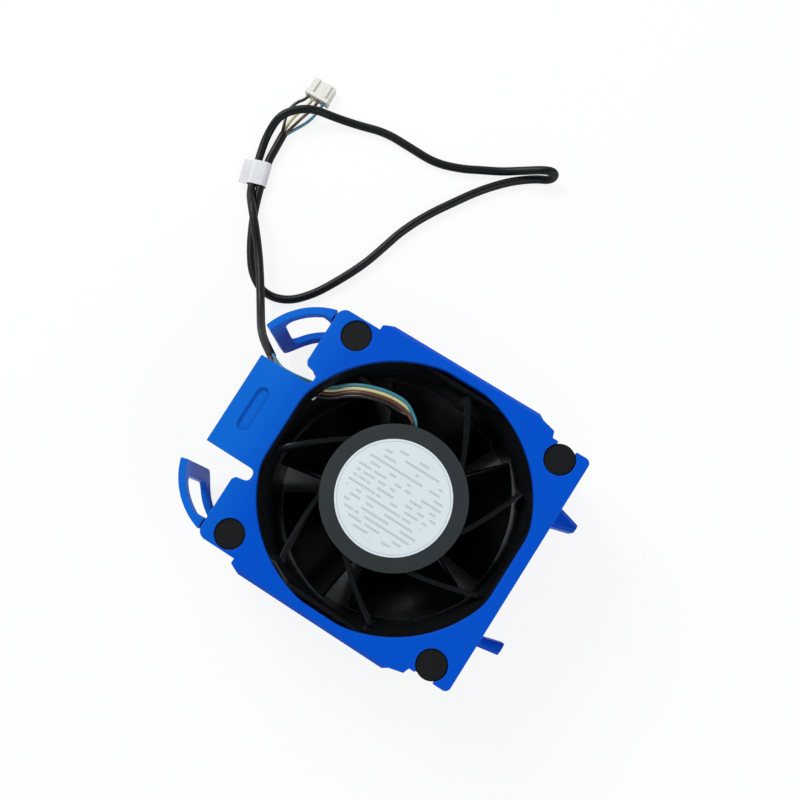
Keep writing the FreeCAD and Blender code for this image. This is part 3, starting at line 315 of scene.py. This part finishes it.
def stripes(name, metallic, dark, light, pitch, rough, depth):
    """Stacked or wound metal: fine lines across the fan axis, their pitch in millimetres."""
    made = Finish(name, metallic=metallic)
    turns = made.axis("Z") * (math.tau / (pitch * MM))
    wave = made.node("Math", {"operation": "SINE"}, {0: turns})
    ridge = wave * 0.5 + 0.5
    # darker in the hollows of the relief: partly dark joints between sheets and turns, partly painted
    # shade
    made.set(base_color=made.mix(ridge, dark, light),
             roughness=made.noise(300, 3.0) * 0.15 + (rough - 0.07), normal=made.bump(ridge, depth))
    return made.material


def board_finish():
    """Solder resist over copper tracks: a green skin, a little raised where the copper lies."""
    made = Finish("board_resin", coat_weight=0.4, coat_roughness=0.2)
    tracks = made.node("TexBrick", {"offset": 0.5},
                       {"Vector": made.place(), "Scale": 330, "Mortar Size": 0.012,
                        "Color1": (0.2,) * 3, "Color2": (0.9,) * 3}, "Color")
    made.set(base_color=made.mix(tracks, (0.006, 0.075, 0.03), (0.012, 0.12, 0.045)),
             roughness=made.noise(500, 2.0) * 0.1 + 0.3, normal=made.bump(tracks, 0.02))
    return made.material


BLUE = (0.0006, 0.072, 0.52)
# painted light: the paler blue of the carrier's handle side
HANDLE_PAINTED_LIGHT_BLUE = (0.0028, 0.118, 0.56)
EDGE_BLUE = (0.01, 0.16, 0.62)
BLACK = (0.0045, 0.0048, 0.0052)
finishes = {
    "carrier_plastic": carrier_finish(),
    "fan_plastic": fan_finish(),
    "impeller_plastic": moulded("impeller_plastic", BLACK, 0.24, 0.006, 0.15),
    "label_film": label_finish(),
    "brass": metal("brass", (0.62, 0.43, 0.16), 0.3, (1, 1, 6)),
    "bearing_steel": metal("bearing_steel", (0.6, 0.61, 0.63), 0.2, (1, 1, 8)),
    "spring_steel": metal("spring_steel", (0.4, 0.41, 0.43), 0.3),
    "cup_steel": metal("cup_steel", (0.48, 0.48, 0.47), 0.36, (1, 1, 0.2)),
    "magnet": soft_skin("magnet", (0.03, 0.03, 0.032), 0.6, 1400, 0.02),
    "laminations": stripes("laminations", 0.9, (0.16, 0.16, 0.17), (0.42, 0.42, 0.43),
                           0.5, 0.4, 0.04),
    "insulator_plastic": moulded("insulator_plastic", (0.62, 0.6, 0.53), 0.45),
    "copper_wire": stripes("copper_wire", 0.85, (0.3, 0.085, 0.03), (0.72, 0.3, 0.13),
                           0.32, 0.32, 0.1),
    "board_resin": board_finish(),
    "chip_plastic": soft_skin("chip_plastic", (0.015, 0.015, 0.016), 0.5, 1800, 0.01),
    "can_metal": metal("can_metal", (0.6, 0.6, 0.62), 0.25),
    "isolator_rubber": soft_skin("isolator_rubber", (0.005, 0.0056, 0.006), 0.55, 1100, 0.03,
                                 gloss=0.16),
    "sleeve_vinyl": soft_skin("sleeve_vinyl", (0.004, 0.0042, 0.0042), 0.42, 800, 0.03,
                              gloss=0.22),
    "tag_paper": soft_skin("tag_paper", (0.62, 0.63, 0.64), 0.55, 500, 0.02),
    "plug_plastic": moulded("plug_plastic", (0.66, 0.66, 0.60), 0.42, 0.01, 0.05),
    "contact_metal": metal("contact_metal", (0.62, 0.6, 0.52), 0.26),
}
insulation = {
    "black": soft_skin("insulation_black", (0.005, 0.005, 0.0055), 0.35, 900, 0.01, 0.2),
    "brown": soft_skin("insulation_brown", (0.085, 0.022, 0.008), 0.35, 900, 0.01, 0.2),
    "yellow": soft_skin("insulation_yellow", (0.50, 0.48, 0.24), 0.35, 900, 0.01, 0.2),
    "teal": soft_skin("insulation_teal", (0.028, 0.19, 0.25), 0.35, 900, 0.01, 0.2),
}

set_camera()

# Middle of the four wires: out through the side of the motor base as a bundle, over a vane as a
# flat ribbon, through the gate and out under the handle, where they gather into the sleeve.
LEAD_ROUTE = [(-4.8, 17.2, 32.7), (-5.6, 19.8, 33.2), (-6.5, 22.6, 34.3), (-8.6, 24.3, 36.0),
              (-12.2, 25.2, 37.5), (-16.2, 25.3, 37.4), (-20.6, 24.5, 37.4), (-25.4, 22.9, 37.3),
              (-29.6, 20.7, 36.4), (-33.6, 17.5, 34.4), (-37.8, 16.0, 33.9), (-42.6, 15.1, 33.8),
              (-47.6, 14.4, 34.3), (-52.4, 15.4, 33.0), (-57.0, 18.0, 29.4)]
BUNDLED = (0, 1, 2, 3, 13, 14)

# The sleeve: down to the surface, over its own return twice, out to a tight fold and back.
SLEEVE_ROUTE = [(-57.0, 18.0, 29.4), (-62.52, 21.12, 25.08), (-68.0, 25.2, 16.8),
                (-73.8, 32.0, 9.8), (-80.2, 41.0, 7.6), (-86.8, 49.6, 6.2), (-93.2, 57.2, 7.5),
                (-97.8, 62.2, 7.0), (-102.6, 67.2, 1.75), (-107.0, 81.2, 1.75),
                (-108.2, 88.0, 2.6), (-107.0, 94.4, 5.8), (-103.2, 99.2, 6.0),
                (-98.0, 102.6, 5.8), (-91.0, 105.0, 2.2), (-82.4, 107.0, 1.5),
                (-72.6, 109.7, 1.5), (-62.4, 109.4, 1.5), (-52.0, 109.0, 1.5),
                (-43.0, 111.8, 1.5), (-36.4, 115.2, 1.5), (-30.6, 118.0, 1.6),
                (-25.6, 120.6, 2.9), (-21.4, 122.4, 4.9), (-18.1, 123.8, 6.4),
                (-15.14, 124.98, 6.54), (-13.74, 125.2, 5.06), (-13.74, 124.67, 2.98),
                (-15.14, 123.7, 1.5), (-18.2, 122.3, 1.5), (-22.2, 119.6, 1.5),
                (-26.8, 115.8, 1.5), (-33.2, 108.6, 1.5), (-38.8, 100.2, 1.5), (-44.4, 91.4, 1.5),
                (-48.8, 82.0, 1.5), (-51.0, 74.0, 1.5), (-53.6, 65.4, 1.5), (-58.2, 55.6, 1.5),
                (-63.2, 46.8, 1.5), (-69.6, 40.2, 1.5), (-77.8, 38.2, 1.5), (-85.2, 41.8, 1.5),
                (-90.8, 49.2, 1.5), (-95.0, 57.0, 1.5), (-98.2, 64.2, 1.75), (-102.6, 78.1, 1.75),
                (-103.2, 84.8, 1.5), (-103.6, 90.8, 1.5)]

# The four wires from the sleeve's end to the connector, passing under the outgoing sleeve.
PLUG_ROUTES = {
    "black": [(-104.2, 90.9, 2.05), (-105.8, 94.6, 0.8), (-107.4, 99.0, 0.6), (-106.2, 103.4, 0.9),
              (-103.8, 105.2, 2.0), (-103.2, 107.2, 2.2)],
    "yellow": [(-104.2, 90.9, 0.95), (-104.6, 95.2, 0.6), (-103.9, 99.8, 0.6), (-102.0, 103.6, 1.4),
               (-101.2, 107.2, 2.2)],
    "brown": [(-103.0, 90.9, 2.05), (-102.4, 95.0, 0.9), (-101.4, 99.8, 0.6), (-99.8, 103.6, 1.4),
              (-99.2, 107.2, 2.2)],
    "teal": [(-103.0, 90.9, 0.95), (-101.3, 94.6, 0.6), (-98.9, 98.8, 0.6), (-97.5, 103.2, 1.3),
             (-97.2, 107.2, 2.2)],
}
WIRE = 1.1
WIRE_STEP = 1.15
SLEEVE = 2.9


def lead_route(index):
    """One wire of the lead: side by side in the ribbon, two by two where they are a bundle."""
    points = [Vector(point) for point in LEAD_ROUTE]
    gathered = (WIRE + 0.04) / 2
    route = []
    for i, point in enumerate(points):
        ahead = points[min(i + 1, len(points) - 1)] - points[max(i - 1, 0)]
        across = Vector((ahead.y, -ahead.x, 0)).normalized()
        over = across.cross(ahead).normalized()
        if over.z < 0:
            over.negate()
        if i in BUNDLED:
            route.append(point + across * (gathered if index > 1 else -gathered)
                         + over * (gathered if index % 2 else -gathered))
        else:
            route.append(point + across * ((index - 1.5) * WIRE_STEP))
    return route


def make_cords():
    for index, colour in enumerate(("black", "brown", "yellow", "teal")):
        wire = cord(f"lead_wire_{colour}", lead_route(index), WIRE, insulation[colour])
        settle(wire, "frame", "wire_insulation", "lead_wires")
    tails = []
    for colour, route in PLUG_ROUTES.items():
        tails.append(cord(f"plug_wire_{colour}", route, WIRE, insulation[colour]))
        settle(tails[-1], "frame", "wire_insulation", "plug_wires")
    sleeve = cord("sleeve", SLEEVE_ROUTE, SLEEVE, finishes["sleeve_vinyl"], 12)
    settle(sleeve, "frame", "sleeve_vinyl", "cable_sleeve")
    return sleeve, tails


def settle(piece, body, slot, *nodes):
    """Puts a finished piece on its body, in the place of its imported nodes."""
    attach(piece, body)
    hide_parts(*nodes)


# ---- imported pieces, dressed ----------------------------------------------------------------------

def clear_of_cusps(edges):
    """The edges that end at no point where two of them run almost the same way."""
    ways = {}
    for edge in edges:
        for end in edge.verts:
            ways.setdefault(end, []).append((edge.other_vert(end).co - end.co).normalized())
    cusps = {end for end, runs in ways.items()
             if any(one.angle(other) < math.radians(CUSP) for one, other in combinations(runs, 2))}
    return [edge for edge in edges if cusps.isdisjoint(edge.verts)]


def dressed(node, body, slot, soft=0.0, whole=True):
    """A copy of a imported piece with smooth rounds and, if soft, sharp edges broken by that many mm.

    Its flats are joined into whole faces unless whole is False.
    """
    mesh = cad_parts[node].data.copy()
    mesh.name = node + "_dressed"
    form = bmesh.new()
    form.from_mesh(mesh)
    bmesh.ops.remove_doubles(form, verts=form.verts, dist=0.002 * MM)
    bmesh.ops.dissolve_degenerate(form, dist=0.001 * MM, edges=form.edges)
    if whole:
        bmesh.ops.dissolve_limit(form, angle_limit=math.radians(FLAT), verts=form.verts,
                                 edges=form.edges)
    if soft:
        sharp = [edge for edge in form.edges if len(edge.link_faces) == 2
                 and edge.calc_face_angle(0) > math.radians(CREASE)]
        bmesh.ops.bevel(form, geom=clear_of_cusps(sharp), offset=soft * MM, offset_type="OFFSET",
                        affect="EDGES", segments=2, profile=0.5, material=-1, clamp_overlap=False)
    form.to_mesh(mesh)
    form.free()
    mesh.shade_smooth()
    mesh.set_sharp_from_angle(angle=math.radians(SOFT_CREASE if soft else CREASE))
    mesh.materials.clear()
    mesh.materials.append(finishes[slot])
    piece = bpy.data.objects.new(node + "_dressed", mesh)
    bpy.context.scene.collection.objects.link(piece)
    even = piece.modifiers.new("even_shading", "WEIGHTED_NORMAL")
    even.keep_sharp = True
    settle(piece, body, slot, node)
    return piece


def fill_hole(isolator, place):
    """Swells an isolator's rubber head until it almost touches the rim of its hole."""
    side = Vector((1 if "right" in place else -1, 1 if "upper" in place else -1, 0))
    middle = side * (HOLE_PITCH / 2 * MM)
    for point in isolator.data.vertices:
        if point.co.z > cad_high[2] - HEAD_DEPTH * MM:
            out = (point.co - middle) * Vector((1, 1, 0))
            point.co += out * (HEAD_SWELL / HEAD_RADIUS)


def paint(node, finish):
    """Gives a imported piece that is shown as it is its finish."""
    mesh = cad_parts[node].data
    mesh.materials.clear()
    mesh.materials.append(finishes[finish])


sleeve, tails = make_cords()
tag = dressed("cable_tag", "frame", "tag_paper", soft=0.05)
plug = dressed("plug_housing", "frame", "plug_plastic", soft=0.1)
contacts = dressed("plug_contacts", "frame", "contact_metal", soft=0.05)

dressed("carrier", "frame", "carrier_plastic", soft=0.18, whole=False)
dressed("upper_squeeze_arm", "upper_arm", "carrier_plastic", soft=0.15)
dressed("lower_squeeze_arm", "lower_arm", "carrier_plastic", soft=0.15)
dressed("fan_housing", "frame", "fan_plastic")
dressed("impeller", "rotor", "impeller_plastic")
dressed("hub_label", "frame", "label_film")
for place in ("right_upper", "left_upper", "left_lower", "right_lower"):
    fill_hole(dressed(f"isolator_{place}", "frame", "isolator_rubber", soft=0.35), place)
for node in ("upper_bearing_balls", "lower_bearing_balls"):
    dressed(node, "frame", "bearing_steel")
for node, finish in {
        "bearing_tube": "brass", "shaft_bush": "brass", "shaft": "bearing_steel",
        "lower_bearing_outer_ring": "bearing_steel", "upper_bearing_outer_ring": "bearing_steel",
        "lower_bearing_inner_ring": "bearing_steel", "upper_bearing_inner_ring": "bearing_steel",
        "bearing_shields": "bearing_steel", "end_washer": "bearing_steel",
        "retaining_clip": "spring_steel", "preload_spring": "spring_steel",
        "rotor_cup": "cup_steel", "magnet_ring": "magnet",
        "stator_core": "laminations", "lower_insulator": "insulator_plastic",
        "upper_insulator": "insulator_plastic", "coils": "copper_wire",
        "circuit_board": "board_resin", "hall_sensor": "chip_plastic",
        "driver_chip": "chip_plastic", "capacitors": "can_metal",
        "chip_resistors": "chip_plastic"}.items():
    paint(node, finish)


# ---- floor and light -----------------------------------------------------------------------------

def make_floor():
    """A pale floor that shows white round the module and stays plain in its shade under the fan."""
    shade_half, shade_longer, shade_blur = 0.0395, 0.0045, 0.002
    form = bmesh.new()
    bmesh.ops.create_grid(form, x_segments=1, y_segments=1, size=4)
    bmesh.ops.translate(form, verts=form.verts, vec=(0, 0, -0.0001))
    mesh = bpy.data.meshes.new("floor")
    form.to_mesh(mesh)
    form.free()
    made = Finish("floor", base_color=(0.86, 0.86, 0.86), roughness=0.9)
    seen = made.node("LightPath", {}, {}, "Is Camera Ray")
    reach = made.maths("MAXIMUM", made.axis("X").size() - shade_longer, made.axis("Y").size())
    beside = ((reach - shade_half) / shade_blur).clamped()
    glow = made.node("Emission", {}, {"Color": (1, 1, 1), "Strength": 1.0})
    plain = Value(made, made.shader.outputs[0])
    mixed = made.node("MixShader", {}, {0: seen * beside * 0.86, 1: plain, 2: glow})
    output = next(node for node in made.tree.nodes if node.type == "OUTPUT_MATERIAL")
    made.tree.links.new(mixed.plug, output.inputs["Surface"])
    mesh.materials.append(made.material)
    floor = bpy.data.objects.new("floor", mesh)
    bpy.context.scene.collection.objects.link(floor)


def make_world():
    """A room that is dim overhead and bright round the sides; the camera sees plain white."""
    world = bpy.data.worlds.new("room")
    world.use_nodes = True
    bpy.context.scene.world = world
    tree = world.node_tree
    tree.nodes.clear()

    def add(kind, inputs, **settings):
        made = tree.nodes.new("ShaderNode" + kind)
        for name, value in settings.items():
            setattr(made, name, value)
        for name, value in inputs.items():
            if isinstance(value, bpy.types.NodeSocket):
                tree.links.new(value, made.inputs[name])
            else:
                made.inputs[name].default_value = value
        return made.outputs

    path = add("LightPath", {})
    direct = add("Math", {0: path["Is Camera Ray"], 1: path["Is Transmission Ray"]},
                 operation="MAXIMUM")
    height = add("SeparateXYZ", {0: add("TexCoord", {})["Generated"]})["Z"]
    side = add("MapRange", {"Value": height, "From Min": 0.93, "From Max": 0.70,
                            "To Min": 0.05, "To Max": 0.72}, interpolation_type="SMOOTHSTEP")[0]
    room = add("Background", {"Color": (0.95, 0.975, 1.0, 1), "Strength": side})
    white = add("Background", {"Color": (1, 1, 1, 1), "Strength": 1.0})
    mixed = add("MixShader", {0: direct[0], 1: room[0], 2: white[0]})
    add("OutputWorld", {"Surface": mixed[0]})


def lamp(name, place, aim, width, power):
    """A square soft lamp that faces a point."""
    light = bpy.data.lights.new(name, "AREA")
    light.size = width
    light.energy = power
    made = bpy.data.objects.new(name, light)
    made.location = place
    made.rotation_mode = "QUATERNION"
    made.rotation_quaternion = (Vector(aim) - Vector(place)).to_track_quat("-Z", "Y")
    bpy.context.scene.collection.objects.link(made)


make_floor()
make_world()
lamp("key", (-0.62, 0.30, 0.58), (0, 0, 0.02), 0.4, 5.5)
lamp("fill", (0.6, -0.1, 0.5), (0, 0, 0.02), 0.5, 2.2)
bpy.context.scene.view_settings.view_transform = "Standard"
